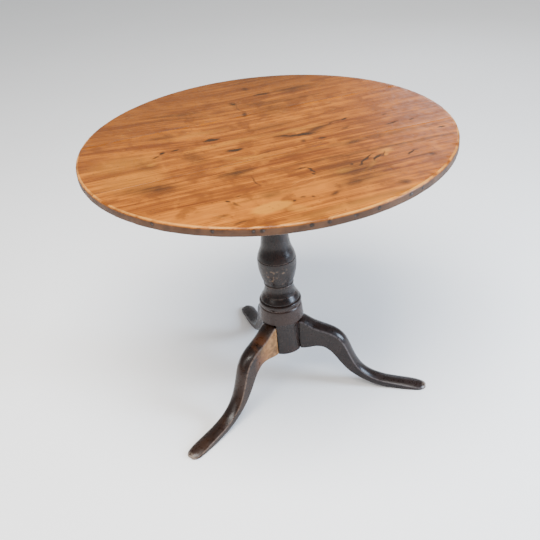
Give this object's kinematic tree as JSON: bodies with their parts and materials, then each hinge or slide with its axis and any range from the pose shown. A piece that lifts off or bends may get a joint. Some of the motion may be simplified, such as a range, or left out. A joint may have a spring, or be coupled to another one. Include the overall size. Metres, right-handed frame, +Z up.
{
  "type": "tilt top table",
  "caption": "Round wooden tilt-top table: a jointed top that tips upright on a block and pins, on a turned column with cabriole legs.",
  "frame": {"origin": "on the floor, under the column's axis", "axes": "+Z up; +X along the boards' grain and the hinge; +Y towards the back leg, away from the hinge"},
  "size_m": [0.852, 0.852, 0.71],
  "materials": {
    "top_wood": "worn waxed, golden orange-brown, straight grain",
    "stand_wood": "old dark stain and wax, glossy on the turnings, rubbed on the legs",
    "under_wood": "unpolished, oxidised",
    "iron": "dark, lightly rusted",
    "spring_steel": "dull steel wire",
    "brass": "aged, dull in the corners"
  },
  "bodies": {
    "stand": {"column": "stand_wood", "leg_left": "stand_wood", "leg_right": "stand_wood", "leg_back": "stand_wood", "base_plate": "iron", "base_plate_nails": "iron", "tilt_block": "under_wood", "tenon_wedge": "under_wood", "pivot_pin_left": "stand_wood", "pivot_pin_right": "stand_wood", "keeper_plate": "brass", "keeper_screws": "brass"},
    "top": {"board_front": "top_wood", "board_middle": "top_wood", "board_back": "top_wood", "rim_tacks": "iron", "bearer_left": "under_wood", "bearer_right": "under_wood", "bearer_screws_left": "iron", "bearer_screws_right": "iron", "catch_plate": "brass", "catch_case": "brass", "catch_spring": "spring_steel", "catch_screws": "brass"},
    "catch_bolt": {"catch_bolt": "brass", "catch_knob": "brass"}
  },
  "joints": [
    {"name": "top_tilt", "type": "hinge", "parent": "stand", "child": "top", "pos_m": [0, -0.077, 0.6716], "axis": [1, 0, 0], "range_deg": [0, 90]},
    {"name": "bolt_slide", "type": "slide", "parent": "top", "child": "catch_bolt", "axis": [0, 1, 0], "range_m": [-0.008, 0], "stiffness_N_per_m": 250, "springref_m": -0.016, "deforming": ["catch_spring"]}
  ]
}
